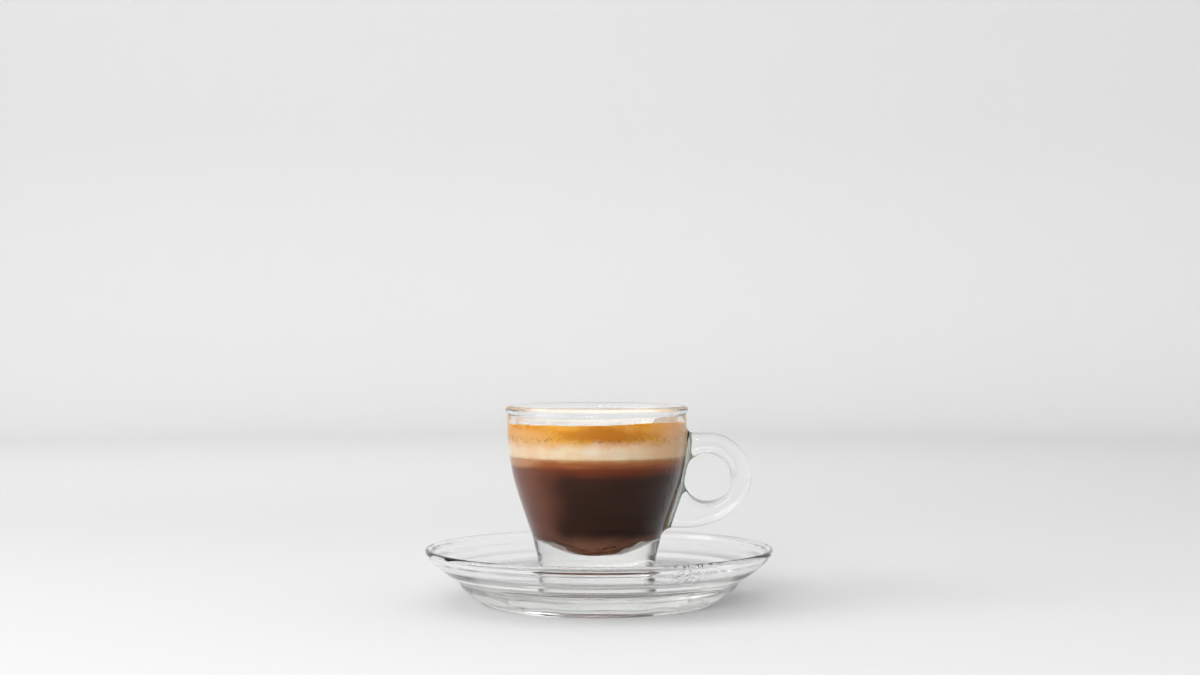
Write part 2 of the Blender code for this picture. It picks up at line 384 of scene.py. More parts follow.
def line_distance(points, line, closing):
    """Distance from each point to a line, and the direction of its slope.

    The distance is less than zero inside the polygon that line and closing make together.
    """
    line = np.array(line)
    a, b = line[:-1], line[1:]
    step = b - a
    squared = np.maximum((step ** 2).sum(1), TINY ** 2)
    side = np.stack([-step[:, 1], step[:, 0]], 1) / np.sqrt(squared)[:, None]
    corner = np.zeros_like(line)
    corner[:-1] += side
    corner[1:] += side
    corner = unit(corner)
    ring = np.array(list(map(tuple, line)) + list(closing))
    after = np.roll(ring, -1, axis=0)
    distance = np.empty(len(points))
    slope = np.empty((len(points), 2))
    for start in range(0, len(points), POINTS_AT_ONCE):
        some = slice(start, start + POINTS_AT_ONCE)
        p = points[some, None, :]
        t = np.clip(((p - a) * step).sum(2) / squared, 0.0, 1.0)
        gap = np.linalg.norm(p - (a + t[..., None] * step), axis=2)
        near = gap.argmin(1)
        rows = np.arange(len(near))
        along = t[rows, near][:, None]
        crossing = (ring[:, 1] > p[:, :, 1]) != (after[:, 1] > p[:, :, 1])
        rise = np.where(after[:, 1] == ring[:, 1], TINY, after[:, 1] - ring[:, 1])
        at = (after[:, 0] - ring[:, 0]) * (p[:, :, 1] - ring[:, 1]) / rise + ring[:, 0]
        inside = (crossing & (p[:, :, 0] < at)).sum(1) % 2 == 1
        distance[some] = np.where(inside, -1.0, 1.0) * gap[rows, near]
        slope[some] = unit(corner[near] * (1 - along) + corner[near + 1] * along)
    return distance, slope


def round_about_axis(points, line, closing):
    """Distance from a turned surface, and the direction away from the glass, on the line's left side."""
    radius = np.maximum(np.hypot(points[:, 0], points[:, 1]), TINY)
    distance, slope = line_distance(np.stack([radius, points[:, 2]], 1), line, closing)
    outward = slope[:, 0]
    turned = [outward * points[:, 0] / radius, outward * points[:, 1] / radius, slope[:, 1]]
    return distance, np.stack(turned, 1)


def handle_distance(points):
    """Distance and slope of the flat ring with its rounded edges."""
    flat = points[:, [0, 2]]
    outline = handle_outline()
    outer, outer_slope = line_distance(flat, outline + outline[:1], [])
    from_hole = flat - np.array(HOLE_CENTRE)
    span = np.maximum(np.linalg.norm(from_hole, axis=1), TINY)
    hole = HOLE_RADIUS - span
    in_hole = hole > outer
    plane = np.where(in_hole, hole, outer)
    plane_slope = np.where(in_hole[:, None], -from_hole / span[:, None], outer_slope)
    plane_slope = np.stack([plane_slope[:, 0], np.zeros(len(points)), plane_slope[:, 1]], 1)
    face_slope = np.zeros_like(points)
    face_slope[:, 1] = np.sign(points[:, 1])
    u = plane + HANDLE_ROUNDING
    v = np.abs(points[:, 1]) - HANDLE_THICKNESS / 2 + HANDLE_ROUNDING
    over_u, over_v = np.maximum(u, 0.0), np.maximum(v, 0.0)
    length = np.maximum(np.hypot(over_u, over_v), TINY)
    distance = np.hypot(over_u, over_v) + np.minimum(np.maximum(u, v), 0.0) - HANDLE_ROUNDING
    in_rounding = (u > 0) | (v > 0)
    rounded = (over_u / length)[:, None] * plane_slope + (over_v / length)[:, None] * face_slope
    inner = np.where((u > v)[:, None], plane_slope, face_slope)
    return distance, np.where(in_rounding[:, None], rounded, inner)


def cup_distance(points):
    """Distance and slope of the whole cup.

    Its outside and the handle are joined with a fillet, and the inside is taken away.
    """
    outside, outside_slope = round_about_axis(points, outside_of_cup(), [(0.0, CUP_HEIGHT)])
    far = 3 * CUP_RIM_RADIUS
    inside_closing = [(far, CUP_HEIGHT), (far, CUP_HEIGHT + far), (0.0, CUP_HEIGHT + far)]
    inside, inside_slope = round_about_axis(points, inside_of_cup(), inside_closing)
    handle, handle_slope = handle_distance(points)
    radius = HANDLE_FILLET + (HANDLE_FACE_FILLET - HANDLE_FILLET) * handle_slope[:, 1] ** 2
    u = np.maximum(radius - outside, 0.0)
    v = np.maximum(radius - handle, 0.0)
    length = np.maximum(np.hypot(u, v), TINY)
    fillet = (u > 0) & (v > 0)
    joined = np.where(fillet, radius - length, np.minimum(outside, handle))
    near_outside = (outside < handle)[:, None]
    joined_slope = np.where(near_outside, outside_slope, handle_slope)
    fillet_slope = (u / length)[:, None] * outside_slope + (v / length)[:, None] * handle_slope
    joined_slope = np.where(fillet[:, None], fillet_slope, joined_slope)
    bowl = -inside > joined
    return np.where(bowl, -inside, joined), np.where(bowl[:, None], inside_slope, joined_slope)


# Mesh making

def add_piece(name, mesh, material, replaced=()):
    """Adds a mesh as a piece of the one body. It may stand for CAD nodes."""
    mesh.name = name
    mesh.materials.clear()
    for each in material if isinstance(material, list) else [material]:
        mesh.materials.append(each)
    obj = bpy.data.objects.new(name, mesh)
    bpy.context.scene.collection.objects.link(obj)
    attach(obj, "root")
    if replaced:
        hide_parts(*replaced)
    return obj


def turn(profile, steps, centre=(0.0, 0.0), base=0.0, shift=None):
    """A mesh turned about a vertical axis from a profile of (radius, height).

    It is closed where the profile meets the axis.
    """
    work = bmesh.new()
    rings = []
    for row, (radius, height) in enumerate(profile):
        ring = []
        count = 1 if radius < ON_AXIS else steps
        for i in range(count):
            angle = 2 * math.pi * i / steps
            x, y, z = radius * math.cos(angle), radius * math.sin(angle), height
            if shift:
                x, y, z = shift(x, y, z, row)
            ring.append(work.verts.new((centre[0] + x, centre[1] + y, base + z)))
        rings.append(ring)
    for upper, lower in zip(rings, rings[1:]):
        for i in range(steps):
            here = [upper[i % len(upper)], lower[i % len(lower)]]
            there = [lower[(i + 1) % len(lower)], upper[(i + 1) % len(upper)]]
            face = list(dict.fromkeys(here + there))
            if len(face) > 2:
                work.faces.new(face).smooth = True
    bmesh.ops.recalc_face_normals(work, faces=work.faces)
    mesh = bpy.data.meshes.new("turned")
    work.to_mesh(mesh)
    work.free()
    mesh.set_sharp_from_angle(angle=math.radians(SHARP_ANGLE))
    return mesh


def remeshed_node(node, size):
    """The CAD node's mesh as an even net of small faces."""
    source = bpy.data.objects.new("net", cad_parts[node].data.copy())
    bpy.context.scene.collection.objects.link(source)
    weld = source.modifiers.new("weld", "WELD")
    weld.merge_threshold = WELD_DISTANCE
    remesh = source.modifiers.new("net", "REMESH")
    remesh.mode = "VOXEL"
    remesh.voxel_size = size
    bpy.context.view_layer.update()
    evaluated = source.evaluated_get(bpy.context.evaluated_depsgraph_get())
    mesh = bpy.data.meshes.new_from_object(evaluated)
    bpy.data.objects.remove(source)
    return mesh


def relaxed(points, edges):
    """Each point moved half way to the middle of its neighbours."""
    here = np.concatenate([edges[:, 0], edges[:, 1]])
    there = np.concatenate([edges[:, 1], edges[:, 0]])
    size = len(points)
    total = np.stack([np.bincount(here, points[there, axis], size) for axis in range(3)], 1)
    count = np.maximum(np.bincount(here, minlength=size), 1)
    return 0.5 * points + 0.5 * total / count[:, None]


def make_cup(material):
    """The cup with its handle: a net over the CAD cup, moved onto the smooth outline in a few rounds."""
    place = np.array([CUP_X, 0.0, CUP_BASE])
    mesh = remeshed_node("glass_cup", CUP_NET)
    points = np.empty(len(mesh.vertices) * 3)
    mesh.vertices.foreach_get("co", points)
    points = points.reshape(-1, 3) - place
    edges = np.empty(len(mesh.edges) * 2, dtype=np.int64)
    mesh.edges.foreach_get("vertices", edges)
    edges = edges.reshape(-1, 2)
    for _ in range(CUP_NET_ROUNDS):
        points = relaxed(relaxed(points, edges), edges)
        distance, slope = cup_distance(points)
        points = points - distance[:, None] * slope
    distance, slope = cup_distance(points)
    points = points - distance[:, None] * slope
    mesh.vertices.foreach_set("co", (points + place).ravel())
    mesh.polygons.foreach_set("use_smooth", [True] * len(mesh.polygons))
    mesh.update()
    mesh.normals_split_custom_set_from_vertices(slope)
    return add_piece("glass_cup_with_handle", mesh, material, ["glass_cup"])


def saucer_profile():
    """From the middle of the well out over the lip, and back in under the foot ring to its recess."""
    well = [(0.0, WELL_FLOOR), (WELL_RADIUS - WELL_EDGE, WELL_FLOOR)]
    upper = smooth_through([(WELL_RADIUS, WELL_FLOOR)] + in_metres(DISH_SURFACE), per_span=5)
    lip_centre = (SAUCER_RADIUS - SAUCER_LIP_RADIUS, SAUCER_LIP_HEIGHT)
    lip = arc(lip_centre, SAUCER_LIP_RADIUS, SAUCER_LIP_FROM, SAUCER_LIP_TO, count=15)
    under = smooth_through(in_metres(DISH_UNDERSIDE), per_span=5)
    outside, inside, edge = FOOT_RING_OUTSIDE, FOOT_RING_INSIDE, FOOT_RING_EDGE
    outer_edge = arc((outside - edge, edge), edge, 0, -90, count=6)
    inner_edge = arc((inside + edge, edge), edge, -90, -180, count=6)
    recess = [(inside - FOOT_RECESS_SLOPE * i, FOOT_RECESS) for i in (1, 2)] + [(0.0, FOOT_RECESS)]
    return well + upper + lip + under + outer_edge + inner_edge + recess


def make_saucer(material):
    mesh = turn(saucer_profile(), SAUCER_STEPS)
    return add_piece("glass_saucer", mesh, material, ["saucer"])


def bowl_wave(x, y, z):
    """How far the drink's foot swells into the pressed, slightly uneven bottom of the bowl."""
    low = min(max((WAVE_TOP - z) / WAVE_FADE, 0.0), 1.0)
    broad = noise.noise(Vector((x, y, z)) * WAVE_BROAD)
    fine = noise.noise(Vector((x, y, z)) * WAVE_FINE)
    return low * (WAVE_HEIGHT * (0.5 + 0.5 * broad) + WAVE_FINE_HEIGHT * (0.5 + 0.5 * fine))


def crema_rise(x, y):
    """How far the crema stands above its level: it climbs the wall on one side and ripples a little."""
    reach = math.hypot(x, y) / CUP_RIM_RADIUS
    around = math.atan2(y, x)
    facing = max(math.cos(around - math.radians(CREMA_CLIMB_TOWARDS)), 0.0)
    climb = CREMA_CLIMB * facing ** 2 * reach ** CREMA_CLIMB_STEEPNESS
    ripple = CREMA_RIPPLE * math.sin(CREMA_LOBES * around) * reach ** 2
    uneven = CREMA_UNEVEN * noise.noise(Vector((x, y, 0.0)) * CREMA_UNEVEN_SCALE)
    return climb + ripple + uneven * reach


def drink_wall():
    """The bowl's line, a little way into the glass, so that no air shows between the drink and the wall."""
    bowl = bowl_curve()
    return [(radius + INTO_GLASS if radius > 0 else 0.0, height - INTO_GLASS) for radius, height in bowl]


def layer(bottom, top):
    """The profile of one layer, from its top's middle down the wall to its foot's middle."""
    wall = drink_wall()
    between = [point for point in reversed(wall) if bottom + NEAR_LEVEL < point[1] < top - NEAR_LEVEL]
    side = [(radius_at(wall, top), top)] + between
    if bottom > wall[0][1]:
        side += [(radius_at(wall, bottom), bottom), (0.0, bottom)]
    return [(0.0, top)] + side


def make_layer(node, name, bottom, top, material):
    """A layer of the drink. Near the bottom of the bowl it follows the uneven glass."""
    mesh = turn(layer(bottom, top), DRINK_STEPS, (CUP_X, 0.0), CUP_BASE)
    for vertex in mesh.vertices:
        x, y, z = vertex.co.x - CUP_X, vertex.co.y, vertex.co.z - CUP_BASE
        if z < WAVE_TOP:
            outward = Vector((x, y, z - WAVE_TOP)).normalized()
            vertex.co += outward * bowl_wave(x, y, z)
    return add_piece(name, mesh, material, [node])


def make_crema(material, top_material):
    """The crema, with its own finish on the free surface."""
    wall = radius_at(drink_wall(), CREMA_TOP)
    reach = [wall * i / CREMA_RINGS for i in range(CREMA_RINGS)]
    edge = [wall - MENISCUS_WIDTH * (1 - i / MENISCUS_RINGS) for i in range(MENISCUS_RINGS + 1)]
    radii = [r for r in reach if r < edge[0] - CREMA_RING_GAP] + edge
    profile = [(r, CREMA_TOP) for r in radii] + layer(FOAM_TOP, CREMA_TOP)[2:]
    mesh = turn(profile, DRINK_STEPS, (CUP_X, 0.0), CUP_BASE)
    for vertex in mesh.vertices:
        x, y, z = vertex.co.x - CUP_X, vertex.co.y, vertex.co.z - CUP_BASE
        if z > CREMA_TOP - ON_SURFACE:
            near_wall = max(math.hypot(x, y) - wall + MENISCUS_WIDTH, 0.0) / MENISCUS_WIDTH
            vertex.co.z += crema_rise(x, y) + MENISCUS_HEIGHT * near_wall ** 2
    piece = add_piece("crema_layer", mesh, [material, top_material], ["crema"])
    for face in mesh.polygons:
        face.material_index = 1 if face.normal.z > FACES_UP else 0
    return piece


def surface_height(x, y):
    """The height of the crema's surface above the table."""
    return CUP_BASE + CREMA_TOP + crema_rise(x, y)


def make_bubbles(material):
    """Small bubbles on the crema, most of them along the wall."""
    chance = random.Random(BUBBLE_SEED)
    work = bmesh.new()
    placed = []
    wall = radius_at(drink_wall(), CREMA_TOP)
    while len(placed) < BUBBLE_COUNT:
        radius = chance.uniform(*BUBBLE_RADII) * chance.uniform(*BUBBLE_SHRINK)
        if chance.random() < BUBBLES_AT_WALL:
            reach = wall - INTO_GLASS - radius * chance.uniform(*BUBBLE_FROM_WALL)
        else:
            reach = wall * math.sqrt(chance.random()) * BUBBLE_REACH
        around = chance.uniform(-math.pi, math.pi)
        x, y = reach * math.cos(around), reach * math.sin(around)
        if any(math.hypot(x - px, y - py) < radius + pr for px, py, pr in placed):
            continue
        placed.append((x, y, radius))
        made = bmesh.ops.create_icosphere(work, subdivisions=3, radius=radius)
        shift = Vector((CUP_X + x, y, surface_height(x, y) + radius * chance.uniform(*BUBBLE_RISE)))
        bmesh.ops.translate(work, verts=made["verts"], vec=shift)
    for face in work.faces:
        face.smooth = True
    mesh = bpy.data.meshes.new("bubbles")
    work.to_mesh(mesh)
    work.free()
    return add_piece("crema_bubbles", mesh, material)


def make_film(material):
    """A thin film of crema that tilting left on the inner wall, over part of the way round."""
    wall = bowl_curve() + rim_arc(RIM_INNER_END, FILM_RIM_TO, count=5)
    low = CREMA_TOP - FILM_BELOW_SURFACE
    work = bmesh.new()
    columns = []
    for i in range(FILM_STEPS + 1):
        share = i / FILM_STEPS
        around = math.radians(FILM_FROM + (FILM_TO - FILM_FROM) * share)
        broad = noise.noise(Vector((around * FILM_RAGGED_BROAD, 0.0, 3.0)))
        fine = noise.noise(Vector((around * FILM_RAGGED_FINE, 4.0, 0.0)))
        fade = (1 - abs(2 * share - 1) ** FILM_ROUND_ENDS) ** 0.5
        high = low + (FILM_HEIGHT + FILM_RAGGED * (broad + 0.5 * fine)) * fade
        column = []
        for k in range(FILM_ROWS + 1):
            height = low + (max(high, low + FILM_LEAST) - low) * k / FILM_ROWS
            radius = radius_at(wall, height) - FILM_OFF_WALL
            x, y = CUP_X + radius * math.cos(around), radius * math.sin(around)
            column.append(work.verts.new((x, y, CUP_BASE + height)))
        columns.append(column)
    for left, right in zip(columns, columns[1:]):
        for k in range(FILM_ROWS):
            work.faces.new([left[k], right[k], right[k + 1], left[k + 1]]).smooth = True
    mesh = bpy.data.meshes.new("film")
    work.to_mesh(mesh)
    work.free()
    return add_piece("crema_film_on_the_wall", mesh, material)


def make_painted_joint_band(material):
    """A slab where the handle meets the cup. It paints the grey-green band that refraction of the cup's wall
    shows through the handle's neck.
    """
    wall = smooth_through(in_metres(OUTER_WALL), per_span=4)
    work = bmesh.new()
    rows = []
    for i in range(JOINT_ROWS + 1):
        share = i / JOINT_ROWS
        height = JOINT_FROM + (JOINT_TO - JOINT_FROM) * share
        swell = (1 - abs(2 * share - 1) ** JOINT_ROUND_ENDS) ** 0.5 + JOINT_END_WIDTH
        near = radius_at(wall, height) - JOINT_INWARD
        far = near + JOINT_DEPTH
        beside_hole = HOLE_RADIUS ** 2 - (height - HOLE_CENTRE[1]) ** 2
        if beside_hole > 0:
            far = min(far, HOLE_CENTRE[0] - math.sqrt(beside_hole) - JOINT_FROM_HOLE)
        middle, half_depth = (near + far) / 2, (far - near) / 2
        row = []
        for k in range(JOINT_COLUMNS):
            around = 2 * math.pi * k / JOINT_COLUMNS
            x = CUP_X + middle + half_depth * swell * math.cos(around)
            row.append(work.verts.new((x, JOINT_WIDTH / 2 * swell * math.sin(around), CUP_BASE + height)))
        rows.append(row)
    for lower, upper in zip(rows, rows[1:]):
        for k in range(JOINT_COLUMNS):
            after = (k + 1) % JOINT_COLUMNS
            work.faces.new([lower[k], lower[after], upper[after], upper[k]]).smooth = True
    work.faces.new(rows[0][::-1])
    work.faces.new(rows[-1])
    mesh = bpy.data.meshes.new("joint")
    work.to_mesh(mesh)
    work.free()
    return add_piece("handle_joint_painted_band", mesh, material)


def make_drink():
    make_layer("espresso", "dark_espresso", 0.0, ESPRESSO_TOP, espresso_material())
    make_layer("coffee_with_milk", "brown_layer", ESPRESSO_TOP, MIXED_TOP, brown_material())
    make_layer("milk_foam", "foam_layer", MIXED_TOP, FOAM_TOP, foam_material())
    make_crema(crema_material(), crema_top_material())
    make_bubbles(bubble_material())
    make_film(film_material())


# Shader nodes. A value given to them is a number, a colour or another node's output.

def rgb(colour):
    """A colour with the opacity that Blender's colour sockets ask for."""
    return (*colour, 1.0)


def grey(value):
    return (value, value, value)


def feed(tree, socket, value):
    """Links another node's output to a socket, or sets the socket's own value."""
    if isinstance(value, bpy.types.NodeSocket):
        tree.links.new(value, socket)
    elif value is not None:
        socket.default_value = value


def maths(tree, operation, a, b=None, c=None, clamp=False):
    node = tree.nodes.new("ShaderNodeMath")
    node.operation = operation
    node.use_clamp = clamp
    for socket, value in zip(node.inputs, (a, b, c)):
        feed(tree, socket, value)
    return node.outputs[0]


def vector_maths(tree, operation, a, b=None):
    node = tree.nodes.new("ShaderNodeVectorMath")
    node.operation = operation
    feed(tree, node.inputs[0], a)
    feed(tree, node.inputs[1], b)
    return node.outputs["Value"] if operation == "LENGTH" else node.outputs["Vector"]


def smooth_step(tree, value, low, high):
    """Goes smoothly from 0 at low to 1 at high."""
    node = tree.nodes.new("ShaderNodeMapRange")
    node.interpolation_type = "SMOOTHSTEP"
    for label, source in (("Value", value), ("From Min", low), ("From Max", high)):
        feed(tree, node.inputs[label], source)
    return node.outputs["Result"]


def mixed(tree, factor, a, b):
    """Colour a where the factor is 0, colour b where it is 1."""
    node = tree.nodes.new("ShaderNodeMix")
    node.data_type = "RGBA"
    feed(tree, node.inputs["Factor"], factor)
    for label, colour in (("A", a), ("B", b)):
        socket = [i for i in node.inputs if i.name == label and i.type == "RGBA"][0]
        feed(tree, socket, rgb(colour) if isinstance(colour, tuple) else colour)
    return [o for o in node.outputs if o.type == "RGBA"][0]


def noise_value(tree, vector, scale, detail, roughness):
    node = tree.nodes.new("ShaderNodeTexNoise")
    feed(tree, node.inputs["Vector"], vector)
    feed(tree, node.inputs["Scale"], scale)
    feed(tree, node.inputs["Detail"], detail)
    feed(tree, node.inputs["Roughness"], roughness)
    return node.outputs["Fac"]


# Shader groups, shared by the materials. Lengths are in metres, and scales in cycles a metre.

SOCKETS = {1: "NodeSocketFloat", 3: "NodeSocketVector", 4: "NodeSocketColor"}
POINT = (0.0, 0.0, 0.0)


def new_group(name, inputs, outputs):
    """An empty group. A single number makes a value input, three numbers a vector, and four a colour."""
    tree = bpy.data.node_groups.new(name, "ShaderNodeTree")
    for label, value in inputs.items():
        kind = SOCKETS[len(value) if isinstance(value, tuple) else 1]
        tree.interface.new_socket(label, in_out="INPUT", socket_type=kind).default_value = value
    for label, numbers in outputs.items():
        tree.interface.new_socket(label, in_out="OUTPUT", socket_type=SOCKETS[numbers])
    return tree, tree.nodes.new("NodeGroupInput").outputs, tree.nodes.new("NodeGroupOutput").inputs


def shaken(tree, given, amount):
    """A noise about nought, as strong as the group's input of that name says."""
    unsteady = noise_value(tree, given["Vector"], given["Scale"], detail=3.0, roughness=0.6)
    return maths(tree, "MULTIPLY", maths(tree, "SUBTRACT", unsteady, 0.5), given[amount])


def streak_group():
    """Cloudy streaks that lie level, as coffee and milk settle."""
    inputs = {"Vector": POINT, "Across": 60.0, "Up": 500.0, "Contrast": 1.0}
    tree, given, result = new_group("Level Streaks", inputs, {"Value": 1})
    combine = tree.nodes.new("ShaderNodeCombineXYZ")
    for socket, label in zip(combine.inputs, ("Across", "Across", "Up")):
        tree.links.new(given[label], socket)
    stretched = vector_maths(tree, "MULTIPLY", given["Vector"], combine.outputs[0])
    value = noise_value(tree, stretched, 1.0, detail=3.0, roughness=0.6)
    spread = maths(tree, "MULTIPLY", maths(tree, "SUBTRACT", value, 0.5), given["Contrast"])
    tree.links.new(maths(tree, "ADD", spread, 0.5, clamp=True), result["Value"])
    return tree


def rise_group():
    """Goes from 0 to 1 between two heights, along a border that wavers."""
    inputs = {"Vector": POINT, "Low": 0.0, "High": 0.001, "Waver": 0.0005, "Scale": 150.0}
    tree, given, result = new_group("Rising Mask", inputs, {"Mask": 1})
    split = tree.nodes.new("ShaderNodeSeparateXYZ")
    tree.links.new(given["Vector"], split.inputs[0])
    height = maths(tree, "ADD", split.outputs["Z"], shaken(tree, given, "Waver"))
    tree.links.new(smooth_step(tree, height, given["Low"], given["High"]), result["Mask"])
    return tree


def patch_group():
    """A soft patch round a point, with a size for each axis and a ragged border."""
    inputs = {
        "Vector": POINT, "Centre": POINT, "Size": (0.01, 0.01, 0.01), "Full": 0.3, "Ragged": 0.3,
        "Scale": 200.0,
    }
    tree, given, result = new_group("Soft Patch", inputs, {"Mask": 1})
    away = vector_maths(tree, "SUBTRACT", given["Vector"], given["Centre"])
    distance = vector_maths(tree, "LENGTH", vector_maths(tree, "DIVIDE", away, given["Size"]))
    reach = maths(tree, "ADD", distance, shaken(tree, given, "Ragged"))
    tree.links.new(smooth_step(tree, reach, 1.0, given["Full"]), result["Mask"])
    return tree


def speck_group():
    """Scattered small dots, the mouths of bubbles. Share is how many of the cells hold one."""
    inputs = {"Vector": POINT, "Cells": 900.0, "Dot": 0.2, "Share": 0.4}
    tree, given, result = new_group("Bubble Specks", inputs, {"Mask": 1})
    cells = tree.nodes.new("ShaderNodeTexVoronoi")
    tree.links.new(given["Vector"], cells.inputs["Vector"])
    tree.links.new(given["Cells"], cells.inputs["Scale"])
    split = tree.nodes.new("ShaderNodeSeparateColor")
    tree.links.new(cells.outputs["Color"], split.inputs[0])
    chosen = maths(tree, "LESS_THAN", split.outputs[0], given["Share"])
    size = maths(tree, "MULTIPLY", given["Dot"], maths(tree, "ADD", split.outputs[1], 0.5))
    dot = smooth_step(tree, cells.outputs["Distance"], size, maths(tree, "MULTIPLY", size, 0.5))
    tree.links.new(maths(tree, "MULTIPLY", dot, chosen), result["Mask"])
    return tree


def pressed_glass_group():
    """Pressed glass: the height of its faint waves, and the roughness of smudges on it."""
    inputs = {"Vector": POINT, "Wave Scale": 70.0, "Smudge Scale": 90.0, "Smudge": 0.035}
    tree, given, result = new_group("Pressed Glass", inputs, {"Height": 1, "Roughness": 1})
    wave = noise_value(tree, given["Vector"], given["Wave Scale"], detail=1.0, roughness=0.4)
    tree.links.new(wave, result["Height"])
    smudges = noise_value(tree, given["Vector"], given["Smudge Scale"], detail=4.0, roughness=0.65)
    shown = smooth_step(tree, smudges, low=0.55, high=0.8)
    tree.links.new(maths(tree, "MULTIPLY", shown, given["Smudge"]), result["Roughness"])
    return tree


def marbled_crema_group():
    """Crema's own colour: orange brown, marbled, with paler clouds."""
    inputs = {
        "Vector": POINT, "Across": 95.0, "Up": 330.0, "Contrast": 2.4, "Cloud Scale": 420.0,
        "Dark": rgb(CREMA_DARK), "Pale": rgb(CREMA_PALE), "Cloud": rgb(CREMA_CLOUD),
    }
    tree, given, result = new_group("Marbled Crema", inputs, {"Colour": 4})
    place = given["Vector"]
    streaks = use(tree, "streaks", place, across=given["Across"], up=given["Up"], contrast=given["Contrast"])
    colour = mixed(tree, streaks, given["Dark"], given["Pale"])
    clouds = noise_value(tree, place, given["Cloud Scale"], detail=4.0, roughness=0.65)
    colour = mixed(tree, smooth_step(tree, clouds, low=0.45, high=0.75), colour, given["Cloud"])
    tree.links.new(colour, result["Colour"])
    return tree


def foam_into_crema_group():
    """Foam and crema mingle: one colour for both sides of their border, with fine bubbles along it."""
    inputs = {"Vector": POINT, "Low": above_base(46.2), "High": above_base(50.8), "Specks": 0.85}
    tree, given, result = new_group("Foam Into Crema", inputs, {"Colour": 4})
    place = given["Vector"]
    rising = use(tree, "rise", place, low=given["Low"], high=given["High"], waver=0.0034, scale=190.0)
    colour = mixed(tree, rising, foam_colour(tree, place), crema_colour(tree, place))
    specks = use(tree, "specks", place, cells=1450.0, dot=0.38, share=0.55)
    above = use(tree, "rise", place, low=above_base(48.4), high=above_base(49.6), waver=0.003, scale=160.0)
    below = use(tree, "rise", place, low=above_base(51.6), high=above_base(50.4), waver=0.003, scale=160.0)
    dots = maths(tree, "MULTIPLY", specks, maths(tree, "MULTIPLY", above, below))
    shown = maths(tree, "MULTIPLY", dots, given["Specks"])
    tree.links.new(mixed(tree, shown, colour, CREMA_SPECKS), result["Colour"])
    return tree


GROUPS = {}


def use(tree, name, vector, **values):
    """Adds one of the shared groups to a material or another group and gives its first output."""
    makers = {
        "streaks": streak_group, "rise": rise_group, "patch": patch_group, "specks": speck_group,
        "pressed glass": pressed_glass_group, "marbled crema": marbled_crema_group,
        "foam into crema": foam_into_crema_group,
    }
    if name not in GROUPS:
        GROUPS[name] = makers[name]()
    node = tree.nodes.new("ShaderNodeGroup")
    node.node_tree = GROUPS[name]
    feed(tree, node.inputs["Vector"], vector)
    for label, value in values.items():
        feed(tree, node.inputs[label.replace("_", " ").title()], value)
    return node.outputs[0]


# Colours of the drink

def above_base(millimetres):
    """A height on the cup, from its own base, as a height above the table."""
    return CUP_BASE + millimetres * MM


def at_front_wall(x, height, radius=28.5):
    """The point of the cup's front inner wall that lies x to the right of its middle, all in millimetres."""
    return (CUP_X + x * MM, -math.sqrt(radius ** 2 - x ** 2) * MM, above_base(height))


def border(tree, place, colour, tint, low, high, waver, scale, strength=1.0):
    """A colour that takes on a tint from one height above the cup's base to another, in millimetres."""
    rise = use(tree, "rise", place, low=above_base(low), high=above_base(high), waver=waver, scale=scale)
    return mixed(tree, maths(tree, "MULTIPLY", rise, strength), colour, tint)


def cloud(tree, place, colour, tint, centre, size, ragged, scale, strength=1.0):
    """A colour that takes on a tint within a soft patch."""
    patch = use(tree, "patch", place, centre=centre, size=size, ragged=ragged, scale=scale)
    return mixed(tree, maths(tree, "MULTIPLY", patch, strength), colour, tint)


def foam_colour(tree, place):
    """Cream, browner to the right."""
    soft = noise_value(tree, place, 110.0, detail=3.0, roughness=0.6)
    colour = mixed(tree, smooth_step(tree, soft, low=0.35, high=0.65), FOAM_DARK, FOAM_PALE)
    colour = cloud(tree, place, colour, FOAM_BRIGHT, centre=at_front_wall(-2.0, 47.6),
                   size=(0.005, 0.02, 0.0045), ragged=0.5, scale=160.0)
    return cloud(tree, place, colour, FOAM_TAN, centre=at_front_wall(27.0, 47.0),
                 size=(0.022, 0.03, 0.02), ragged=0.6, scale=90.0, strength=0.7)


def crema_colour(tree, place):
    """Orange brown with a darker middle, a beige cloud at the right and a tan one at the left."""
    colour = use(tree, "marbled crema", place)
    colour = cloud(tree, place, colour, CREMA_MIDDLE, centre=at_front_wall(3.0, 51.8),
                   size=(0.020, 0.016, 0.0040), ragged=0.9, scale=150.0, strength=0.9)
    colour = cloud(tree, place, colour, CREMA_BEIGE, centre=at_front_wall(27.0, 52.0),
                   size=(0.019, 0.02, 0.009), ragged=0.8, scale=120.0)
    return cloud(tree, place, colour, CREMA_TAN, centre=at_front_wall(-22.0, 50.8),
                 size=(0.013, 0.014, 0.0040), ragged=0.7, scale=160.0)


# Materials

def new_material(name, roughness):
    material = bpy.data.materials.new(name)
    material.use_nodes = True
    tree = material.node_tree
    shader = tree.nodes["Principled BSDF"]
    shader.inputs["Roughness"].default_value = roughness
    place = tree.nodes.new("ShaderNodeTexCoord").outputs["Object"]
    return material, tree, shader, place


def against_glass(tree, shader):
    """A liquid that touches glass mirrors only at a glancing angle.

    Past a certain angle the glass mirrors what is behind it where the coffee touches it, and a coat gives
    that mirror.
    """
    shader.inputs["Specular Tint"].default_value = rgb(grey(0.0))
    shader.inputs["IOR"].default_value = LIQUID_INDEX
    fresnel = tree.nodes.new("ShaderNodeFresnel")
    fresnel.inputs["IOR"].default_value = COFFEE_IN_GLASS
    tree.links.new(fresnel.outputs[0], shader.inputs["Coat Weight"])
    shader.inputs["Coat IOR"].default_value = MIRROR_COAT
    shader.inputs["Coat Roughness"].default_value = MIRROR_ROUGHNESS


def light_inside(shader):
    """Foam and crema let light in a little way, red furthest."""
    shader.inputs["Subsurface Weight"].default_value = FOAM_SCATTER
    shader.inputs["Subsurface Radius"].default_value = FOAM_SCATTER_RADIUS
    shader.inputs["Subsurface Scale"].default_value = FOAM_SCATTER_SCALE


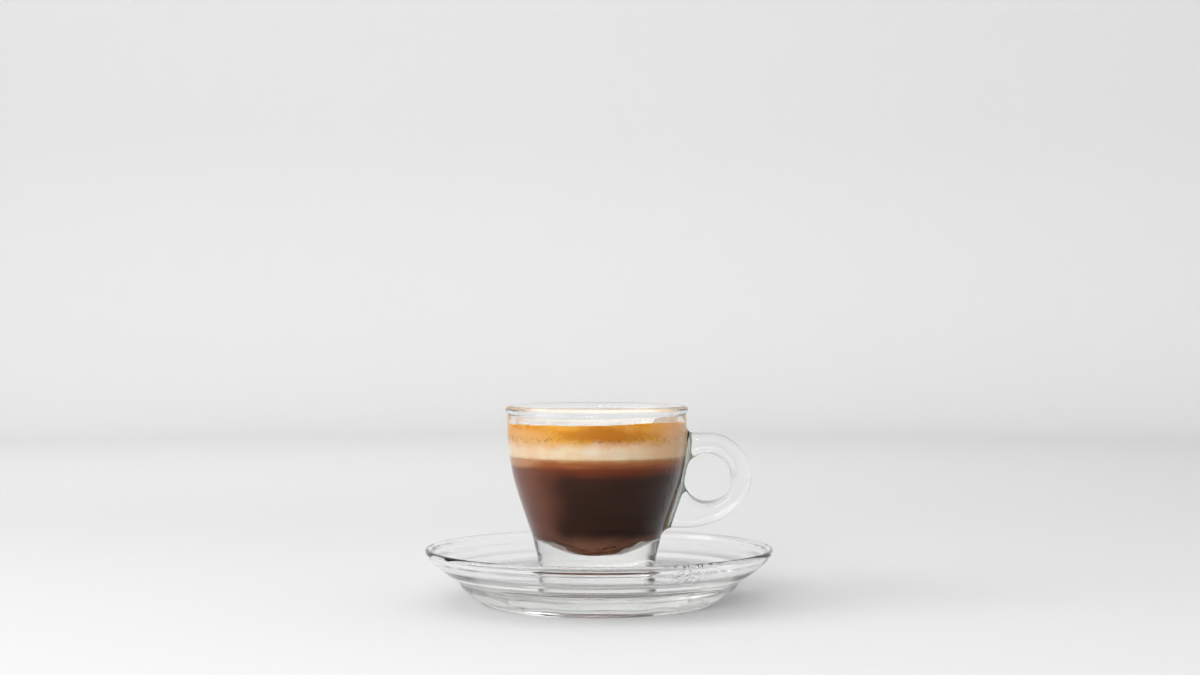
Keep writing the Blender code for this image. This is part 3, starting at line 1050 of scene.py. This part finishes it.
def glossy_coat(shader, weight, roughness):
    shader.inputs["Coat Weight"].default_value = weight
    shader.inputs["Coat Roughness"].default_value = roughness


def bump(tree, shader, height, strength, distance):
    node = tree.nodes.new("ShaderNodeBump")
    node.inputs["Strength"].default_value = strength
    node.inputs["Distance"].default_value = distance
    feed(tree, node.inputs["Height"], height)
    tree.links.new(node.outputs["Normal"], shader.inputs["Normal"])


def clear_glass(name, wave_scale, wave_height, uneven=()):
    """Clear pressed glass with a faint waviness, and a faint grey-green tint that grows with its thickness.

    Uneven spots, each a centre and a size, have finer and steeper waves that glint.
    """
    material, tree, shader, place = new_material(name, 0.0)
    shader.inputs["Base Color"].default_value = rgb(grey(1.0))
    shader.inputs["IOR"].default_value = GLASS_INDEX
    shader.inputs["Transmission Weight"].default_value = 1.0
    shader.inputs["Specular Tint"].default_value = rgb(GLASS_REFLECTION)
    wave = use(tree, "pressed glass", place, wave_scale=wave_scale)
    tree.links.new(wave.node.outputs["Roughness"], shader.inputs["Roughness"])
    for centre, size in uneven:
        spot = use(tree, "patch", place, centre=centre, size=size, ragged=0.8, scale=200.0)
        grain = noise_value(tree, place, GLINT_GRAIN, detail=1.0, roughness=0.5)
        glint = maths(tree, "MULTIPLY", spot, maths(tree, "MULTIPLY", grain, GLINT_STRENGTH))
        wave = maths(tree, "ADD", wave, glint)
    bump(tree, shader, wave, strength=1.0, distance=wave_height)
    tint = tree.nodes.new("ShaderNodeVolumeAbsorption")
    tint.inputs["Color"].default_value = rgb(GLASS_TINT)
    tint.inputs["Density"].default_value = GLASS_DENSITY
    tree.links.new(tint.outputs[0], tree.nodes["Material Output"].inputs["Volume"])
    return material


def painted_joint_band_material():
    """Painted refraction: a grey-green band with faint level streaks. It is clearer in the middle of its
    width.
    """
    material, tree, shader, place = new_material("cloudy joint", 0.4)
    band_streaks = use(tree, "streaks", place, across=90.0, up=240.0, contrast=1.6)
    tree.links.new(mixed(tree, band_streaks, JOINT_DARK, JOINT_PALE), shader.inputs["Base Color"])
    axes = tree.nodes.new("ShaderNodeSeparateXYZ")
    tree.links.new(place, axes.inputs[0])
    from_middle = maths(tree, "ABSOLUTE", axes.outputs["Y"])
    clear_to, full_from = JOINT_CLEAR_TO * JOINT_WIDTH, JOINT_FULL_FROM * JOINT_WIDTH
    edge = smooth_step(tree, from_middle, low=clear_to, high=full_from)
    painted_refraction = maths(tree, "MULTIPLY_ADD", band_streaks, JOINT_BAND_STREAKS, JOINT_BAND_STRENGTH)
    share = maths(tree, "MULTIPLY_ADD", edge, 1 - JOINT_CLEAREST, JOINT_CLEAREST)
    tree.links.new(maths(tree, "MULTIPLY", painted_refraction, share), shader.inputs["Alpha"])
    return material


def espresso_material():
    """Black coffee: red-brown under the brown layer, with painted light that makes it paler at its foot and
    at the front left.
    """
    material, tree, shader, place = new_material("espresso", 0.12)
    against_glass(tree, shader)
    streaks = use(tree, "streaks", place, across=45.0, up=420.0, contrast=2.2)
    colour = mixed(tree, streaks, ESPRESSO_DARK, ESPRESSO_PALE)
    top = use(tree, "rise", place, low=above_base(35.5), high=above_base(41.0), waver=0.003, scale=90.0)
    colour = mixed(tree, maths(tree, "POWER", top, 1.6), colour, RED_BROWN)
    # Painted light coming up through the glass base: paler towards the foot
    colour = border(tree, place, colour, ESPRESSO_FOOT_PAINTED_LIGHT, low=19.0, high=11.5, waver=0.004, scale=120.0,
                    strength=0.9)
    # Painted light from the left: paler patches at the front left and at the low front left
    colour = cloud(tree, place, colour, ESPRESSO_PAINTED_LIGHT, centre=at_front_wall(-26.0, 30.0),
                   size=(0.020, 0.024, 0.028), ragged=0.35, scale=70.0, strength=0.75)
    colour = cloud(tree, place, colour, ESPRESSO_LOW_PAINTED_LIGHT, centre=at_front_wall(-20.0, 16.0, radius=22.0),
                   size=(0.013, 0.018, 0.009), ragged=0.3, scale=90.0, strength=0.7)
    tree.links.new(colour, shader.inputs["Base Color"])
    return material


def brown_material():
    """Coffee with milk, between the espresso's red brown and the foam's tan, with painted light that makes
    it paler at the front left.
    """
    material, tree, shader, place = new_material("coffee with milk", 0.2)
    against_glass(tree, shader)
    streaks = use(tree, "streaks", place, across=70.0, up=1300.0, contrast=2.0)
    colour = mixed(tree, streaks, BROWN_DARK, BROWN_PALE)
    colour = border(tree, place, colour, RED_BROWN, low=42.3, high=40.0, waver=0.002, scale=110.0)
    colour = border(tree, place, colour, BROWN_TOP, low=42.4, high=43.8, waver=0.0016, scale=220.0)
    # Painted light from the left: a paler patch at the front left
    colour = cloud(tree, place, colour, BROWN_PAINTED_LIGHT, centre=at_front_wall(-27.0, 43.0),
                   size=(0.013, 0.02, 0.0036), ragged=0.5, scale=90.0, strength=0.8)
    tree.links.new(colour, shader.inputs["Base Color"])
    return material


def foam_material():
    """Milk foam, with a browner line of milky coffee along its foot."""
    material, tree, shader, place = new_material("milk foam", 0.35)
    against_glass(tree, shader)
    light_inside(shader)
    colour = border(tree, place, use(tree, "foam into crema", place), FOAM_FOOT, low=44.7, high=43.5,
                    waver=0.0014, scale=240.0, strength=0.6)
    tree.links.new(colour, shader.inputs["Base Color"])
    return material


def crema_material():
    """The crema's side, against the glass."""
    material, tree, shader, place = new_material("crema", 0.35)
    against_glass(tree, shader)
    light_inside(shader)
    tree.links.new(use(tree, "foam into crema", place), shader.inputs["Base Color"])
    return material


def crema_top_material():
    """The free surface: a crema ring round a soft white mark of milk foam, with fine bubbles in both."""
    material, tree, shader, place = new_material("crema surface", 0.1)
    shader.inputs["IOR"].default_value = CREMA_INDEX
    glossy_coat(shader, weight=0.5, roughness=0.06)
    colour = use(tree, "marbled crema", place)
    clouds = noise_value(tree, place, 120.0, detail=4.0, roughness=0.6)
    colour = mixed(tree, smooth_step(tree, clouds, low=0.35, high=0.65), colour, SURFACE_CLOUD)
    colour = mixed(tree, SURFACE_MILKINESS, colour, SURFACE_MILK)
    middle = (CUP_X + MARK_CENTRE[0], MARK_CENTRE[1], CUP_BASE + CREMA_TOP)
    mark = use(tree, "patch", place, centre=middle, size=(MARK_SIZE, MARK_SIZE, MARK_DEPTH), full=0.8,
               ragged=0.3, scale=110.0)
    colour = mixed(tree, mark, colour, SURFACE_MARK)
    specks = use(tree, "specks", place, cells=1500.0, dot=0.3, share=0.5)
    colour = mixed(tree, maths(tree, "MULTIPLY", specks, 0.45), colour, SURFACE_SPECKS)
    tree.links.new(colour, shader.inputs["Base Color"])
    fine = noise_value(tree, place, 1300.0, detail=3.0, roughness=0.6)
    bump(tree, shader, maths(tree, "SUBTRACT", fine, specks), strength=0.2, distance=0.03 * MM)
    return material


def bubble_material():
    material, tree, shader, place = new_material("crema bubbles", 0.05)
    shader.inputs["IOR"].default_value = LIQUID_INDEX
    glossy_coat(shader, weight=0.6, roughness=0.03)
    shade = noise_value(tree, place, 500.0, detail=2.0, roughness=0.5)
    tree.links.new(mixed(tree, shade, BUBBLE_DARK, BUBBLE_PALE), shader.inputs["Base Color"])
    return material


def film_material():
    """Drying crema on the glass: thin, uneven, pale tan."""
    material, tree, shader, place = new_material("crema film", 0.3)
    patches = noise_value(tree, place, 260.0, detail=4.0, roughness=0.6)
    tree.links.new(mixed(tree, patches, FILM_DARK, FILM_PALE), shader.inputs["Base Color"])
    thick = smooth_step(tree, patches, low=0.3, high=0.7)
    alpha = maths(tree, "MULTIPLY_ADD", thick, FILM_THICKEST - FILM_THINNEST, FILM_THINNEST)
    tree.links.new(alpha, shader.inputs["Alpha"])
    return material


# Stage

def make_stage():
    """A pale round floor that curves up into a low wall all round."""
    bend_centre = (FLOOR_RADIUS, FLOOR_BEND)
    bend = arc(bend_centre, FLOOR_BEND, -90, 0, count=17)[1:]
    floor = [(0.0, 0.0), (FLOOR_RADIUS, 0.0)] + bend + [(FLOOR_RADIUS + FLOOR_BEND, FLOOR_WALL_TOP)]
    mesh = turn(floor[::-1], FLOOR_STEPS)
    obj = bpy.data.objects.new("stage_floor", mesh)
    obj.location.z = -FLOOR_GAP
    bpy.context.scene.collection.objects.link(obj)
    material, _, shader, _ = new_material("pale floor", 0.9)
    shader.inputs["Base Color"].default_value = rgb(grey(FLOOR_GREY))
    shader.inputs["Specular IOR Level"].default_value = 0.2
    mesh.materials.append(material)


def make_card(name, degrees, size, shade):
    """A standing card out of sight, which only mirrors in the glass and darkens the thick base's edges.

    It stands this many degrees to the left of straight behind, and its shade fades towards its edges.
    """
    width, height = size
    turn_left = math.radians(degrees)
    side = Vector((-math.sin(turn_left), math.cos(turn_left), 0.0))
    along = Vector((side.y, -side.x, 0.0)) * width / 2
    up = Vector((0.0, 0.0, height))
    foot = side * CARD_DISTANCE
    mesh = bpy.data.meshes.new(name)
    mesh.from_pydata([foot - along, foot + along, foot + along + up, foot - along + up], [], [(0, 1, 2, 3)])
    obj = bpy.data.objects.new(name, mesh)
    obj.visible_camera = False
    obj.visible_diffuse = False
    obj.visible_shadow = False
    bpy.context.scene.collection.objects.link(obj)
    material, tree, shader, place = new_material(name, 0.9)
    zone = (width / 2, width / 2, height * CARD_ZONE_HEIGHT)
    middle = use(tree, "patch", place, centre=tuple(foot + up / 2), size=zone, ragged=0.0)
    tree.links.new(mixed(tree, middle, grey(FLOOR_GREY), grey(shade)), shader.inputs["Base Color"])
    mesh.materials.append(material)


def soft_light(name, place, aim, size, power, spread=180.0):
    """A rectangle of light that faces its aim. Its spread is in degrees."""
    light = bpy.data.lights.new(name, "AREA")
    light.shape = "RECTANGLE"
    light.size, light.size_y = size
    light.energy = power
    light.spread = math.radians(spread)
    obj = bpy.data.objects.new(name, light)
    obj.location = place
    obj.rotation_euler = (Vector(aim) - Vector(place)).to_track_quat("-Z", "Y").to_euler()
    bpy.context.scene.collection.objects.link(obj)


def make_lights():
    soft_light("soft_light_above", place=(-0.3, 0.0, 1.5), aim=(-0.1, 0.1, 0.0), size=(1.5, 1.5), power=1.9)
    soft_light("soft_light_left", place=(-1.1, -0.45, 0.5), aim=(0.0, 0.0, 0.04), size=(1.2, 0.8),
               power=6.6, spread=120.0)
    soft_light("soft_light_front", place=(-0.3, -1.35, 0.42), aim=(-0.05, 0.0, 0.03), size=(1.2, 0.5),
               power=16.2, spread=120.0)
    soft_light("soft_light_behind", place=(-0.4, 0.35, 0.8), aim=(-0.35, 1.35, 0.15), size=(1.0, 0.4),
               power=1.7, spread=120.0)


def make_sky():
    """The room's plain light. Matt surfaces are lit by one brightness, and glass shows another."""
    world = bpy.data.worlds.new("studio")
    world.use_nodes = True
    tree = world.node_tree
    sky = tree.nodes["Background"]
    sky.inputs["Color"].default_value = rgb(grey(1.0))
    path = tree.nodes.new("ShaderNodeLightPath")
    from_matt = maths(tree, "GREATER_THAN", path.outputs["Diffuse Depth"], 0.5)
    axes = tree.nodes.new("ShaderNodeSeparateXYZ")
    tree.links.new(tree.nodes.new("ShaderNodeTexCoord").outputs["Generated"], axes.inputs[0])
    left = smooth_step(tree, axes.outputs["X"], SKY_LEFT_FROM, SKY_LEFT_TO)
    seen = maths(tree, "MULTIPLY_ADD", left, SKY_SEEN_LEFT - SKY_SEEN, SKY_SEEN)
    seen = maths(tree, "MULTIPLY", seen, maths(tree, "SUBTRACT", 1.0, from_matt))
    tree.links.new(maths(tree, "MULTIPLY_ADD", from_matt, SKY_LIGHT, seen), sky.inputs["Strength"])
    bpy.context.scene.world = world


def make_camera():
    camera = bpy.data.cameras.new("camera")
    camera.lens = CAMERA_LENS
    camera.sensor_width = CAMERA_SENSOR
    obj = bpy.data.objects.new("camera", camera)
    obj.location = CAMERA_PLACE
    obj.rotation_euler = (math.pi / 2 - CAMERA_PITCH, 0.0, 0.0)
    bpy.context.scene.collection.objects.link(obj)
    bpy.context.scene.camera = obj


def set_light_paths(scene):
    """Enough bounces for light to pass every wall of glass, and colours as they are lit."""
    scene.view_settings.view_transform = "Standard"
    scene.cycles.max_bounces = 24
    scene.cycles.transmission_bounces = 24
    scene.cycles.glossy_bounces = 8
    scene.cycles.diffuse_bounces = 4


def main():
    make_camera()
    make_stage()
    make_card("stage_dark_card", degrees=62.0, size=(0.72, 0.34), shade=0.02)
    make_card("stage_grey_card", degrees=-66.0, size=(0.5, 0.34), shade=0.2)
    make_lights()
    make_sky()
    make_cup(clear_glass("clear glass of the cup", CUP_WAVES, CUP_WAVE_HEIGHT))
    # The grey-green band at the handle's joint is painted refraction
    make_painted_joint_band(painted_joint_band_material())
    make_saucer(clear_glass("clear glass of the saucer", SAUCER_WAVES, SAUCER_WAVE_HEIGHT, UNEVEN_SAUCER))
    make_drink()
    set_light_paths(bpy.context.scene)


main()
